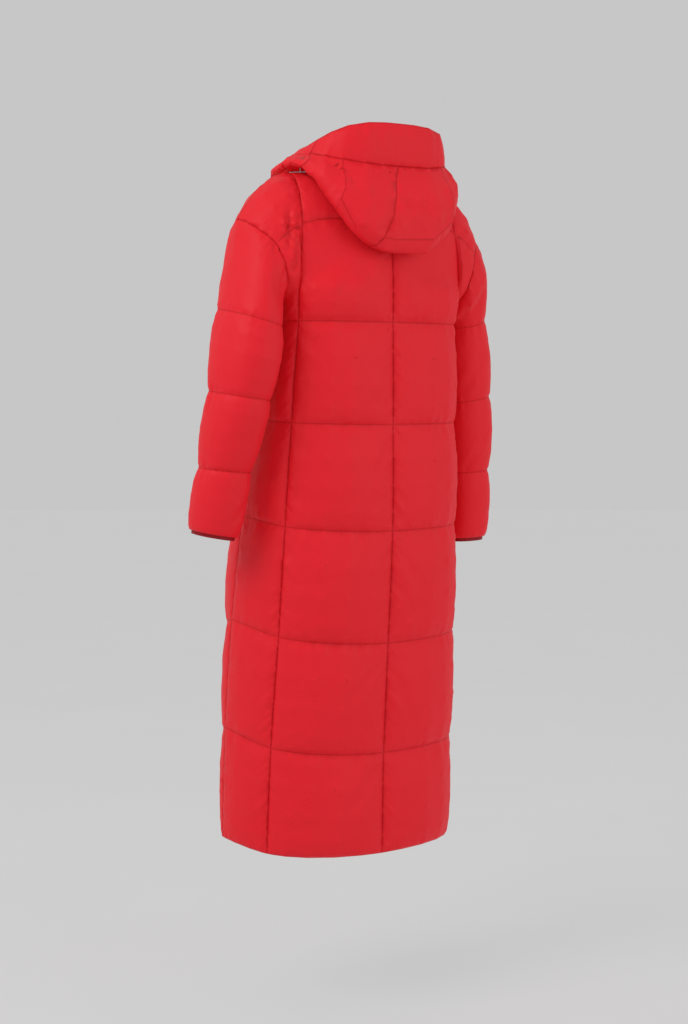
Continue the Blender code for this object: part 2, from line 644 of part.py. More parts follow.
def build_slider(line):
    """The slider at the closed top of the zip, its crossbar, and the tab that hangs on it."""
    seat = min(line, key=lambda point: abs(point.z - SLIDER_HEIGHT))
    back = seat.y + TAPE_CLEARANCE - SEAM_GAP - COIL_DEPTH - SEAM_GAP
    depth = SLIDER_SIZE[1]
    middle = Vector((0.0, back - depth / 2 - 0.0008, SLIDER_HEIGHT))
    slider = bevelled_box("zip_slider", SLIDER_SIZE, middle, 0.0009, METAL, 0.3, 1.0)
    bar = Vector((0.0, middle.y - depth / 2 - BAR_REACH, SLIDER_HEIGHT))
    for side, word in ((1, "left"), (-1, "right")):
        lug_depth = BAR_REACH + BAR_RADIUS * 2 + 0.001
        place = bar + Vector((side * 0.0026, lug_depth / 2 - BAR_RADIUS * 2, 0.0))
        lug = bevelled_box(f"lug_{word}", (0.0011, lug_depth, 0.0034), place, 0.0003, METAL,
                           0.3, 1.0)
        combine(slider, lug, "UNION")
    combine(slider, rod_along_x("crossbar", BAR_RADIUS, 0.0052, bar), "UNION")

    tab = bevelled_box("zip_pull_tab", (TAB_WIDTH, TAB_THICKNESS, TAB_LENGTH), bar, 0.0005,
                       METAL, 0.3, 1.0)
    for corner in tab.data.vertices:
        corner.co.z -= TAB_LENGTH / 2 + TAB_NECK
    neck_middle = bar - Vector((0.0, 0.0, TAB_NECK / 2 + 0.0012))
    neck = bevelled_box("tab_neck", (EYE_WIDTH * 0.9, TAB_THICKNESS * 0.9, TAB_NECK),
                        neck_middle, 0.0002, METAL, 0.3, 1.0)
    combine(tab, neck, "UNION")
    combine(tab, rod_along_x("tab_eye", EYE_RADIUS, EYE_WIDTH, bar), "UNION")
    combine(tab, rod_along_x("tab_hole", BAR_RADIUS + SEAM_GAP, TAB_WIDTH * 2, bar),
            "DIFFERENCE")


def build_zip():
    for side, word in ((1, "left"), (-1, "right")):
        columns = [at_x(front_line(0.0), side * SEAM_GAP / 2), tape_edge(side)]
        zip_strip(f"zip_tape_{word}", columns, TAPE_CLEARANCE, TAPE_THICKNESS, 0.6)
    line = front_line(0.0)
    coil = [at_x(line[1:], side * COIL_WIDTH / 2) for side in (-1, 1)]
    coil_front = TAPE_CLEARANCE - SEAM_GAP - COIL_DEPTH
    zip_strip("zip_coil", coil, coil_front, COIL_DEPTH, 0.35)
    foot, above = line[0], line[1]
    height = (above.z - foot.z) * 0.9
    back = foot.y + TAPE_CLEARANCE - SEAM_GAP
    middle = Vector((0.0, back - BOX_SIZE[1] / 2, foot.z + height / 2))
    bevelled_box("zip_box", (*BOX_SIZE, height), middle, 0.0004, METAL, 0.35, 1.0)
    build_slider(line)


for old in list(bpy.data.objects):
    bpy.data.objects.remove(old)
build_body()
build_sleeve("left", 1, LEFT_SLEEVE)
build_sleeve("right", -1, RIGHT_SLEEVE)
build_hood()
build_zip()
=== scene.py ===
"""A long red quilted coat, its hood folded down, seen from behind on the wearer's left.

Metres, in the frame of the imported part: the back faces +Y, the wearer's left is +X.
"""
import math

import bmesh
import bpy
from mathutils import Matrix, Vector, bvhtree, kdtree, noise


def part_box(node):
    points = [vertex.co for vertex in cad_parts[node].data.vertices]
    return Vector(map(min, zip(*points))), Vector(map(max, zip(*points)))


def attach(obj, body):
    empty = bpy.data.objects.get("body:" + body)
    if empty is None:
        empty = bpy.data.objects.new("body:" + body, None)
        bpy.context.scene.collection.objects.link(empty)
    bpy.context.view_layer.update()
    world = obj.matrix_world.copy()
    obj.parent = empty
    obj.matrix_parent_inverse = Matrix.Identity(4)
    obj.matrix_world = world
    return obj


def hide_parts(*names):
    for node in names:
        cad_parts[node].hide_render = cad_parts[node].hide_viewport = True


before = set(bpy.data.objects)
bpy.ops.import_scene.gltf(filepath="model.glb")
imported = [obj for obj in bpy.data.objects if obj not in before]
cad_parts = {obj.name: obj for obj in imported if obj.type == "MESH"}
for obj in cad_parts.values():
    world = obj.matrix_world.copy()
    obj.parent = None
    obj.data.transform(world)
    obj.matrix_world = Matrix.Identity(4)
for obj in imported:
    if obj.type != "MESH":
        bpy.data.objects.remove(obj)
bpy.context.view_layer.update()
bpy.ops.object.select_all(action="DESELECT")


# The camera stands behind the coat and towards its left side, a little below the
# shoulders, with a long lens, so the back hangs straight and both sleeves show.
EYE = Vector((2.0075, 2.867, -0.366))
AIM = Vector((0.0, 0.0, -0.569))
LENS = 67.8
SENSOR = 36.0

camera_data = bpy.data.cameras.new("camera")
camera_data.lens = LENS
camera_data.sensor_width = SENSOR
camera = bpy.data.objects.new("camera", camera_data)
camera.location = EYE
camera.rotation_euler = (AIM - EYE).to_track_quat("-Z", "Y").to_euler()
bpy.context.scene.collection.objects.link(camera)
bpy.context.scene.camera = camera


# A plain pale studio: an even grey surround, and one matt floor that runs far out and
# glows about as brightly, so that its horizon is faint. A broad soft light stands high
# on the camera's left and a weaker one low on its right.
FLOOR_HEIGHT = -1.46
FLOOR_RADIUS = 16.0
FLOOR_GREY = 0.25
FLOOR_DRIFT = 0.01
FLOOR_GLOW = 0.435
SURROUND_GREY = 0.60
SURROUND_STRENGTH = 0.95
LIT_MIDDLE = Vector((0.0, 0.0, -0.5))
LIGHTS = {"key_light": (Vector((3.1, 0.4, 1.9)), 58.0, 2.0),       # place, watts, size
          "fill_light": (Vector((-1.7, 3.2, 0.2)), 27.0, 2.6)}

bpy.ops.mesh.primitive_circle_add(vertices=96, radius=FLOOR_RADIUS, fill_type="NGON",
                                  location=(0.0, 0.0, FLOOR_HEIGHT))
floor = bpy.context.object
floor.name = "studio_floor"
bpy.ops.object.transform_apply(location=True)
floor_finish = bpy.data.materials.new("studio_floor")
floor_finish.use_nodes = True
nodes, links = floor_finish.node_tree.nodes, floor_finish.node_tree.links
place = nodes.new("ShaderNodeTexCoord")
speckle = nodes.new("ShaderNodeTexNoise")
speckle.inputs["Scale"].default_value = 3.0
shade = nodes.new("ShaderNodeMapRange")
shade.inputs["To Min"].default_value = FLOOR_GREY - FLOOR_DRIFT
shade.inputs["To Max"].default_value = FLOOR_GREY + FLOOR_DRIFT
links.new(place.outputs["Object"], speckle.inputs["Vector"])
links.new(speckle.outputs["Fac"], shade.inputs["Value"])
links.new(shade.outputs["Result"], nodes["Principled BSDF"].inputs["Base Color"])
nodes["Principled BSDF"].inputs["Roughness"].default_value = 0.9
nodes["Principled BSDF"].inputs["Specular IOR Level"].default_value = 0.0
nodes["Principled BSDF"].inputs["Emission Color"].default_value = (1.0, 1.0, 1.0, 1.0)
nodes["Principled BSDF"].inputs["Emission Strength"].default_value = FLOOR_GLOW
floor.data.materials.append(floor_finish)

surround = bpy.data.worlds.new("surround")
surround.use_nodes = True
background = surround.node_tree.nodes["Background"]
background.inputs["Color"].default_value = (SURROUND_GREY, SURROUND_GREY, SURROUND_GREY, 1.0)
background.inputs["Strength"].default_value = SURROUND_STRENGTH
bpy.context.scene.world = surround
bpy.context.scene.view_settings.view_transform = "Standard"

for name, (stand, watts, size) in LIGHTS.items():
    panel = bpy.data.lights.new(name, "AREA")
    panel.energy = watts
    panel.size = size
    lamp = bpy.data.objects.new(name, panel)
    lamp.location = stand
    lamp.rotation_euler = (LIT_MIDDLE - stand).to_track_quat("-Z", "Y").to_euler()
    bpy.context.scene.collection.objects.link(lamp)


# The shell is a fine plain-woven polyester with a soft satin face, dyed one red. The
# thread sinks at each seam and draws the cloth into short puckers on both sides of it.
# The darkest red of each cloth is painted shade, laid in the groove beside each seam.
SHELL_RED = (0.80, 0.0110, 0.0215)
SHELL_SHADED = (0.62, 0.0055, 0.0110)
SHELL_LIT = (0.84, 0.0140, 0.0265)
LINING_RED = (0.50, 0.006, 0.011)
LINING_SHADED = (0.30, 0.005, 0.010)
LINING_LIT = (0.55, 0.009, 0.015)
THREAD_RED = (0.62, 0.006, 0.011)
WEAVE_PITCH = 0.00045
SEAM_SHADE_REACH = 0.0022


def node_group(name, inputs, outputs):
    """An empty shader node group, each socket given as (name, type, value)."""
    group = bpy.data.node_groups.new(name, "ShaderNodeTree")
    for socket, kind, value in inputs:
        made = group.interface.new_socket(socket, in_out="INPUT", socket_type=kind)
        if value is not None:
            made.default_value = value
    for socket, kind in outputs:
        group.interface.new_socket(socket, in_out="OUTPUT", socket_type=kind)
    return (group, group.nodes.new("NodeGroupInput"), group.nodes.new("NodeGroupOutput"))


def math_node(tree, operation, first, second=None):
    """One sum; each operand is a socket or a number."""
    made = tree.nodes.new("ShaderNodeMath")
    made.operation = operation
    for slot, operand in enumerate((first, second)):
        if isinstance(operand, (int, float)):
            made.inputs[slot].default_value = operand
        elif operand is not None:
            tree.links.new(operand, made.inputs[slot])
    return made.outputs[0]


def weave_group():
    """Crossed threads over the piece and a slow drift of shade, as dyed cloth has."""
    group, given, result = node_group(
        "woven_cloth", [("Pitch", "NodeSocketFloat", WEAVE_PITCH)],
        [("Height", "NodeSocketFloat"), ("Drift", "NodeSocketFloat")])
    place = group.nodes.new("ShaderNodeTexCoord")
    scale = math_node(group, "DIVIDE", 1.0, given.outputs["Pitch"])
    threads = []
    for axis in ("X", "Z"):
        wave = group.nodes.new("ShaderNodeTexWave")
        wave.bands_direction = axis
        wave.inputs["Distortion"].default_value = 1.2
        wave.inputs["Detail"].default_value = 1.0
        group.links.new(place.outputs["Object"], wave.inputs["Vector"])
        group.links.new(scale, wave.inputs["Scale"])
        threads.append(wave.outputs["Fac"])
    crossed = math_node(group, "MAXIMUM", *threads)
    group.links.new(crossed, result.inputs["Height"])
    drift = group.nodes.new("ShaderNodeTexNoise")
    drift.inputs["Scale"].default_value = 14.0
    drift.inputs["Detail"].default_value = 3.0
    group.links.new(place.outputs["Object"], drift.inputs["Vector"])
    group.links.new(drift.outputs["Fac"], result.inputs["Drift"])
    return group


def pucker_group():
    """Fine gathers that run away from the nearest seam, and the painted shade beside the seam."""
    group, given, result = node_group(
        "seam_puckers",
        [("Foot", "NodeSocketVector", None), ("Away", "NodeSocketFloat", 0.0),
         ("Spacing", "NodeSocketFloat", 0.006), ("Reach", "NodeSocketFloat", 0.016)],
        [("Height", "NodeSocketFloat"), ("Shade", "NodeSocketFloat")])
    gathers = group.nodes.new("ShaderNodeTexNoise")
    gathers.inputs["Detail"].default_value = 1.0
    group.links.new(given.outputs["Foot"], gathers.inputs["Vector"])
    scale = math_node(group, "DIVIDE", 1.0, given.outputs["Spacing"])
    group.links.new(scale, gathers.inputs["Scale"])
    share = math_node(group, "DIVIDE", given.outputs["Away"], given.outputs["Reach"])
    fade = math_node(group, "SUBTRACT", 1.0, math_node(group, "MINIMUM", share, 1.0))
    centred = math_node(group, "SUBTRACT", gathers.outputs["Fac"], 0.5)
    height = math_node(group, "MULTIPLY", centred, math_node(group, "POWER", fade, 1.5))
    group.links.new(height, result.inputs["Height"])
    # Painted shade: full on the seam, gone at SEAM_SHADE_REACH from it.
    near = math_node(group, "DIVIDE", given.outputs["Away"], SEAM_SHADE_REACH)
    shade = math_node(group, "SUBTRACT", 1.0, math_node(group, "MINIMUM", near, 1.0))
    group.links.new(shade, result.inputs["Shade"])
    return group


WOVEN = weave_group()
PUCKERS = pucker_group()


def cloth_material(name, plain, shaded, lit, roughness, sheen):
    """Cloth in two shades of one dye and a painted shade beside the seams, with its weave and,
    beside the seams, its gathers.
    """
    material = bpy.data.materials.new(name)
    material.use_nodes = True
    tree = material.node_tree
    shader = tree.nodes["Principled BSDF"]
    shader.inputs["Sheen Weight"].default_value = sheen
    shader.inputs["Sheen Roughness"].default_value = 0.45
    shader.inputs["Sheen Tint"].default_value = (1.0, 0.22, 0.22, 1.0)
    shader.inputs["Specular IOR Level"].default_value = 0.20

    weave = tree.nodes.new("ShaderNodeGroup")
    weave.node_tree = WOVEN
    foot = tree.nodes.new("ShaderNodeAttribute")
    foot.attribute_name = "seam_foot"
    away = tree.nodes.new("ShaderNodeAttribute")
    away.attribute_name = "seam_away"
    gathers = tree.nodes.new("ShaderNodeGroup")
    gathers.node_tree = PUCKERS
    tree.links.new(foot.outputs["Vector"], gathers.inputs["Foot"])
    tree.links.new(away.outputs["Fac"], gathers.inputs["Away"])

    tone = tree.nodes.new("ShaderNodeMix")
    tone.data_type = "RGBA"
    tone.inputs["A"].default_value = (*plain, 1.0)
    tone.inputs["B"].default_value = (*lit, 1.0)
    tree.links.new(weave.outputs["Drift"], tone.inputs["Factor"])
    # Painted shade: the colour turns to the darkest red close to each seam, and all over the
    # pieces that carry no seam_away, the cuffs and zip tapes.
    painted_seam_shade = tree.nodes.new("ShaderNodeMix")
    painted_seam_shade.data_type = "RGBA"
    painted_seam_shade.inputs["B"].default_value = (*shaded, 1.0)
    tree.links.new(gathers.outputs["Shade"], painted_seam_shade.inputs["Factor"])
    tree.links.new(tone.outputs["Result"], painted_seam_shade.inputs["A"])
    tree.links.new(painted_seam_shade.outputs["Result"], shader.inputs["Base Color"])

    rough = tree.nodes.new("ShaderNodeMapRange")
    rough.inputs["To Min"].default_value = roughness - 0.05
    rough.inputs["To Max"].default_value = roughness + 0.07
    tree.links.new(weave.outputs["Drift"], rough.inputs["Value"])
    tree.links.new(rough.outputs["Result"], shader.inputs["Roughness"])

    gathered = tree.nodes.new("ShaderNodeBump")
    gathered.inputs["Strength"].default_value = 0.7
    gathered.inputs["Distance"].default_value = 0.0016
    tree.links.new(gathers.outputs["Height"], gathered.inputs["Height"])
    woven = tree.nodes.new("ShaderNodeBump")
    woven.inputs["Strength"].default_value = 0.12
    woven.inputs["Distance"].default_value = 0.00008
    tree.links.new(weave.outputs["Height"], woven.inputs["Height"])
    tree.links.new(gathered.outputs["Normal"], woven.inputs["Normal"])
    tree.links.new(woven.outputs["Normal"], shader.inputs["Normal"])
    return material


shell_cloth = cloth_material("shell_cloth", SHELL_RED, SHELL_SHADED, SHELL_LIT, 0.55, 0.08)
lining_cloth = cloth_material("lining_cloth", LINING_RED, LINING_SHADED, LINING_LIT, 0.50, 0.04)


# Each padded panel is two layers of cloth quilted together over filling. It starts as
# its packed wall: the outer layer gets points enough to crease, the rows stay sewn down.
WALL = 0.003
HOOD_WALL = 0.0015
LONGEST_EDGE = 0.006
SEWN_SLACK = 0.0009     # an outer point this much above the wall's thickness is sewn down
FACING = 0.2            # faces turned less than this from edge-on belong to neither layer
CORNER_ANGLE = math.radians(65.0)
LEVEL = 0.6             # a row rises by less than this share of its length
RELAX_TIMES = 5
RELAX_AGAIN = 2
WHOLE = 0.99            # new points share their neighbours' marks, so a full mark is above this


def packed_wall(node):
    """The node's wall with its corners joined, and its faces as they are."""
    wall = bmesh.new()
    wall.from_mesh(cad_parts[node].data)
    bmesh.ops.remove_doubles(wall, verts=wall.verts, dist=2e-5)
    wall.normal_update()
    return wall


def all_marked(layer, points):
    """Whether every one of the points carries the mark in full."""
    return min(point[layer] for point in points) > WHOLE


def mark_layers(wall, middle_at, thickness):
    """Marks the points of the outer layer, and which of them are sewn to the inner one."""
    outer = wall.verts.layers.float.new("outer")
    sewn = wall.verts.layers.float.new("sewn")
    side = {}
    for face in wall.faces:
        centre = face.calc_center_median()
        facing = face.normal.dot((centre - middle_at(centre)).normalized())
        side[face] = 0 if abs(facing) < FACING else math.copysign(face.calc_area(), facing)
    for point in wall.verts:
        point[outer] = 1.0 if sum(side[face] for face in point.link_faces) > 0 else 0.0
    inner_faces = [face for face in wall.faces if all(v[outer] < 0.5 for v in face.verts)]
    wall.verts.index_update()
    lining = bvhtree.BVHTree.FromPolygons(
        [v.co for v in wall.verts], [[v.index for v in face.verts] for face in inner_faces])
    for point in wall.verts:
        if point[outer] < 0.5:
            continue
        at_rim = any(edge.other_vert(point)[outer] < 0.5 for edge in point.link_edges)
        distance = lining.find_nearest(point.co)[3] or 1.0
        point[sewn] = 1.0 if at_rim or distance < thickness + SEWN_SLACK else 0.0
    return outer, sewn


def free_corners(wall, outer, sewn):
    """Lets the cloth rise again close to each corner where two seams meet."""
    across = []
    for edge in wall.edges:
        if not (all_marked(outer, edge.verts) and all_marked(sewn, edge.verts)):
            continue
        start, end = edge.verts
        facing = [v for face in edge.link_faces for v in face.verts if v not in edge.verts]
        held = [v for v in facing if all_marked(sewn, [v])]
        if len(facing) == 2 and held and all_marked(outer, facing):
            if max((start.co - v.co).angle(end.co - v.co) for v in held) > CORNER_ANGLE:
                across.append(edge)
    made = bmesh.ops.subdivide_edges(wall, edges=across, cuts=1)
    for point in made["geom_inner"]:
        if isinstance(point, bmesh.types.BMVert):
            point[sewn] = 0.0
    bmesh.ops.triangulate(wall, faces=[f for f in wall.faces if len(f.verts) > 3])


def quilting_runs(wall, outer, sewn):
    """The straight stretches of the quilting rows, each with the cloth's direction out."""
    runs = []
    for edge in wall.edges:
        start, end = edge.verts
        if not (start[sewn] and end[sewn]) or not all(len(f.verts) == 3 for f in edge.link_faces):
            continue
        level = abs(start.co.z - end.co.z) < LEVEL * edge.calc_length()
        across = [v for face in edge.link_faces for v in face.verts if v not in edge.verts]
        if level and all(v[outer] > 0.5 and not v[sewn] for v in across):
            normal = (start.normal + end.normal).normalized()
            runs.append((start.co.copy(), end.co.copy(), normal))
    return runs


def refine(wall, outer, sewn):
    """Halves the outer layer's long edges, the longest first and one of a face at a time."""
    waiting = list(wall.edges)
    while True:
        waiting = [edge for edge in waiting
                   if all_marked(outer, edge.verts) and edge.calc_length() > LONGEST_EDGE]
        if not waiting:
            break
        waiting.sort(key=bmesh.types.BMEdge.calc_length, reverse=True)
        chosen, later, taken = [], [], set()
        for edge in waiting:
            free = taken.isdisjoint(edge.link_faces)
            (chosen if free else later).append(edge)
            if free:
                taken.update(edge.link_faces)
        made = bmesh.ops.subdivide_edges(wall, edges=chosen, cuts=1)["geom"]
        fresh = [part for part in made if isinstance(part, bmesh.types.BMEdge)]
        waiting = list(dict.fromkeys(later + fresh))
    inside = []
    for point in wall.verts:
        around = [v for face in point.link_faces for v in face.verts]
        if around and all_marked(sewn, around) and all_marked(outer, around):
            inside.append(point)
    for point in inside:        # no seam runs here: it lies between two that are close
        point[sewn] = 0.0


def relax(wall, outer, sewn, times):
    """Evens out the outer layer between its seams."""
    free = [v for v in wall.verts if all_marked(outer, [v]) and not all_marked(sewn, [v])]
    for _ in range(times):
        bmesh.ops.smooth_vert(wall, verts=free, factor=0.5, use_axis_x=True,
                              use_axis_y=True, use_axis_z=True)


def padded_piece(node, middle_at, thickness=WALL, pinch=None):
    """A new piece in place of the node, and the runs of quilting on it."""
    wall = packed_wall(node)
    outer, sewn = mark_layers(wall, middle_at, thickness)
    if pinch:
        pinch(wall, outer, sewn)
    runs = quilting_runs(wall, outer, sewn)
    free_corners(wall, outer, sewn)
    refine(wall, outer, sewn)
    relax(wall, outer, sewn, RELAX_TIMES)
    mesh = bpy.data.meshes.new(f"{node}_cloth")
    wall.to_mesh(mesh)
    wall.free()
    piece = bpy.data.objects.new(f"{node}_cloth", mesh)
    bpy.context.scene.collection.objects.link(piece)
    mesh.materials.append(shell_cloth)
    mesh.materials.append(lining_cloth)
    return piece, runs


# The soft folds that show, each from one point of the photograph's frame to another, in
# pixels, then its half width and depth in metres. Each lies on the cloth seen there: it
# is a trough that fades towards its ends, with a lower ridge along either side.
PHOTO_WIDTH, PHOTO_HEIGHT = 688, 1024
FOLD_COLUMNS = ("from_x", "from_y", "to_x", "to_y", "half_width", "depth")
FOLDS = (
    (289, 206, 289, 246, 0.0045, 0.0075),      # under the left shoulder, two short folds
    (299, 246, 294, 270, 0.0045, 0.0060),
    (238, 306, 254, 344, 0.0060, 0.0022),      # left sleeve, below its upper line
    (248, 322, 262, 346, 0.0050, 0.0016),
    (255, 410, 248, 446, 0.0060, 0.0020),
    (224, 232, 262, 292, 0.0080, 0.0018),
    (246, 500, 232, 522, 0.0060, 0.0028),
    (262, 452, 246, 466, 0.0060, 0.0022),
    (470, 300, 462, 318, 0.0050, 0.0022),      # right sleeve
    (482, 352, 462, 392, 0.0070, 0.0018),
    (486, 430, 466, 466, 0.0060, 0.0020),
    (340, 172, 318, 196, 0.0060, 0.0022),      # hood, beside its left line
    (352, 178, 372, 214, 0.0070, 0.0018),
    (396, 202, 440, 208, 0.0050, 0.0030),
    (402, 222, 436, 216, 0.0050, 0.0018),
    (310, 150, 338, 140, 0.0070, 0.0018),      # band
    (376, 130, 384, 154, 0.0070, 0.0014),
    (306, 300, 330, 262, 0.0090, 0.0016),      # back, from the crossings inwards
    (384, 300, 362, 262, 0.0090, 0.0014),
    (300, 330, 326, 356, 0.0080, 0.0018),
    (386, 410, 360, 380, 0.0080, 0.0018),
    (294, 436, 322, 470, 0.0090, 0.0020),
    (388, 440, 372, 486, 0.0080, 0.0014),
    (286, 520, 300, 480, 0.0080, 0.0014),
    (292, 548, 318, 596, 0.0090, 0.0020),
    (400, 548, 424, 590, 0.0090, 0.0018),
    (392, 628, 420, 600, 0.0090, 0.0018),
    (286, 656, 312, 716, 0.0100, 0.0020),
    (378, 664, 350, 700, 0.0090, 0.0016),
    (392, 664, 412, 720, 0.0090, 0.0018),
    (280, 770, 306, 828, 0.0100, 0.0020),
    (376, 768, 350, 808, 0.0090, 0.0018),
    (390, 846, 412, 790, 0.0090, 0.0018),
    (246, 756, 262, 806, 0.0080, 0.0020),
    (240, 650, 258, 700, 0.0080, 0.0018),
)
FOLD_LONGEST = 0.16     # a longer one has its ends on two sides of the coat
FOLD_OVERRUN = 0.3      # share of its length that a fold runs on past either end
FOLD_FADE = 1.6
FOLD_REACH = 4.0        # in half widths, as the next one is
RIDGE_AWAY = 2.0
RIDGE_SHARE = 0.45


def photo_ray(x, y):
    """The direction from the camera through a point of the photograph's frame."""
    side = LENS / SENSOR * max(PHOTO_WIDTH, PHOTO_HEIGHT)
    ahead = Vector((x - PHOTO_WIDTH / 2, PHOTO_HEIGHT / 2 - y, -side))
    return (camera.rotation_euler.to_matrix() @ ahead).normalized()


def folds_on(piece):
    """The folds whose two ends both lie on this piece: their ends, half width and depth."""
    mesh = piece.data
    skin = bvhtree.BVHTree.FromPolygons([v.co for v in mesh.vertices],
                                        [tuple(face.vertices) for face in mesh.polygons])
    found = []
    for row in FOLDS:
        fold = dict(zip(FOLD_COLUMNS, row))
        start = skin.ray_cast(EYE, photo_ray(fold["from_x"], fold["from_y"]))[0]
        end = skin.ray_cast(EYE, photo_ray(fold["to_x"], fold["to_y"]))[0]
        if start and end and (end - start).length < FOLD_LONGEST:
            found.append((start, end, fold["half_width"], fold["depth"]))
    return found


def fold_height(place, folds):
    """How far the cloth rises or sinks at a place: a trough with a soft ridge either side."""
    height = 0.0
    for start, end, half_width, depth in folds:
        run = end - start
        share = (place - start).dot(run) / run.length_squared
        if -FOLD_OVERRUN < share < 1.0 + FOLD_OVERRUN:
            away = (place - start - run * share).length / half_width
            if away < FOLD_REACH:
                fade = max(0.0, 1.0 - (2.0 * share - 1.0) ** 2 / FOLD_FADE)
                height += depth * fade * (RIDGE_SHARE * math.exp(-(away - RIDGE_AWAY) ** 2)
                                          - math.exp(-away ** 2))
    return height


# Between its seams the filled cloth sags a little. It is gathered beside each seam, where
# the gathers of an upright seam lean down, and further in it is lightly rumpled.
SAG = 0.004
SAG_REACH = 0.010
PUCKER_DEPTH = 0.0034
PUCKER_SPACING = 0.012
PUCKER_RISE = 0.0075        # how far from the seam the gathers stand highest
PUCKER_LEAN = 0.9
PUCKER_PATCH = 0.05         # how far apart stronger and weaker gathers lie
PUCKER_STRENGTH = (0.55, 0.9, 0.1)      # middle, spread, least
UPRIGHT = 0.7
RUMPLE_DEPTH = 0.0011
RUMPLE_SIZE = 0.045
RUMPLE_AWAY = 0.02          # rumples have their full depth this far from a seam
FINE_RUMPLE = (2.3, 0.4)    # how many times finer, and its share of the depth
FOLD_AWAY = 0.006
SEED_STEP = Vector((3.7, 1.3, 2.9))


def seam_leans(seams, sewn):
    """For each seam point, the way its gathers lean: along an upright seam, or nowhere."""
    leans = []
    for point in seams:
        ahead = [edge.other_vert(point).co - point.co for edge in point.link_edges
                 if all_marked(sewn, [edge.other_vert(point)])]
        along = sum((way if way.z > 0 else -way for way in ahead), Vector())
        upright = along.length > 0 and abs(along.normalized().z) > UPRIGHT
        leans.append(along.normalized() * PUCKER_LEAN if upright else Vector())
    return leans


def gather_height(foot, away, shift):
    """How far the gathers lift the cloth at this distance from the seam's nearest point."""
    middle, spread, least = PUCKER_STRENGTH
    strength = max(middle + spread * noise.noise(foot / PUCKER_PATCH + shift), least)
    share = away / PUCKER_RISE
    ridge = noise.noise(foot / PUCKER_SPACING + shift)
    return ridge * share * math.exp(1.0 - share) * strength * PUCKER_DEPTH


def rumple_height(place, away, shift):
    """How far the loose cloth between the seams rises or sinks."""
    finer, share = FINE_RUMPLE
    coarse = noise.noise(place / RUMPLE_SIZE + shift)
    fine = noise.noise(place * finer / RUMPLE_SIZE - shift)
    return (coarse + fine * share) * RUMPLE_DEPTH * min(away / RUMPLE_AWAY, 1.0)


def soften(piece, depth=1.0, seed=0):
    """Splits the outer layer's edges once more, then sags, gathers, rumples and folds it."""
    folds = folds_on(piece)
    wall = bmesh.new()
    wall.from_mesh(piece.data)
    outer = wall.verts.layers.float["outer"]
    sewn = wall.verts.layers.float["sewn"]
    layer = [edge for edge in wall.edges if all_marked(outer, edge.verts)]
    bmesh.ops.subdivide_edges(wall, edges=layer, cuts=1, use_grid_fill=True)
    bmesh.ops.triangulate(wall, faces=[f for f in wall.faces if len(f.verts) > 3])
    relax(wall, outer, sewn, RELAX_AGAIN)
    wall.normal_update()

    seams = [v for v in wall.verts if all_marked(sewn, [v])]
    leans = seam_leans(seams, sewn)
    tree = kdtree.KDTree(len(seams))
    for i, point in enumerate(seams):
        tree.insert(point.co, i)
    tree.balance()

    foot_layer = wall.verts.layers.float_vector.new("seam_foot")
    away_layer = wall.verts.layers.float.new("seam_away")
    shift = SEED_STEP * seed
    moved = {}
    for point in wall.verts:
        if not all_marked(outer, [point]):
            point[away_layer] = 1.0
            continue
        foot, nearest, away = tree.find(point.co)
        foot = foot + leans[nearest] * away
        point[foot_layer] = foot
        point[away_layer] = away
        if all_marked(sewn, [point]):
            continue
        loose = gather_height(foot, away, shift) + rumple_height(point.co, away, shift)
        folded = fold_height(point.co, folds) * min(away / FOLD_AWAY, 1.0)
        sag = SAG * depth * (1.0 - math.exp(-away / SAG_REACH))
        moved[point] = point.normal * (loose * depth + folded) - Vector((0.0, 0.0, sag))
    for point, move in moved.items():
        point.co += move
    for face in wall.faces:
        face.material_index = 0 if max(v[outer] for v in face.verts) > WHOLE else 1
        face.smooth = True
    wall.to_mesh(piece.data)
    wall.free()


def finish_padded(piece, node):
    """Drops the working marks, hides the node the piece replaces and sets the piece on the coat.
    """
    for name in ("outer", "sewn"):
        piece.data.attributes.remove(piece.data.attributes[name])
    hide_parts(node)
    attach(piece, "coat")


# The body is six quilted panels, two at the back, two side backs and two fronts, sewn
# at the centre back, the princess lines and the sides, with six rows run round them all.
BODY_NODES = ("back_left", "back_right", "side_back_left", "side_back_right",
              "front_left", "front_right")
BODY_MIDDLE_Y = 0.01
CHEST_HEIGHT = -0.15
LOOK_DOWN = 0.03


def body_middle(point):
    """A place on the body's axis, lower than the point so that the shoulders face up."""
    return Vector((0.0, BODY_MIDDLE_Y, min(point.z - LOOK_DOWN, CHEST_HEIGHT)))


quilting = []
body_pieces = {}
for node in BODY_NODES:
    body_pieces[node], runs = padded_piece(node, body_middle)
    quilting += runs
for seed, (node, piece) in enumerate(body_pieces.items(), 1):
    soften(piece, seed=seed)
    finish_padded(piece, node)


# Each sleeve is one padded tube, set into its armhole and quilted across three times.
# It hangs beside the body, so its inner side lies flatter than its outer one.
SLEEVE_TOP = -0.25      # above it the cap leans over to the shoulder
SLEEVE_SLICE = 0.03


def slice_middles(node, key_of):
    """The middle of each slice of the node's points, by the slice's number."""
    sums = {}
    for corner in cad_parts[node].data.vertices:
        total, count = sums.get(key_of(corner.co), (Vector(), 0))
        sums[key_of(corner.co)] = (total + corner.co, count + 1)
    return {key: total / count for key, (total, count) in sums.items()}


def sleeve_key(point):
    return round(min(point.z, SLEEVE_TOP) / SLEEVE_SLICE)


sleeve_pieces = {}
for node in ("sleeve_left", "sleeve_right"):
    middles = slice_middles(node, sleeve_key)

    def sleeve_middle(point):
        key = sleeve_key(point)
        return middles[min(middles, key=lambda known: abs(known - key))]

    sleeve_pieces[node], runs = padded_piece(node, sleeve_middle)
    quilting += runs
for seed, (node, piece) in enumerate(sleeve_pieces.items(), 11):
    soften(piece, seed=seed)
    finish_padded(piece, node)


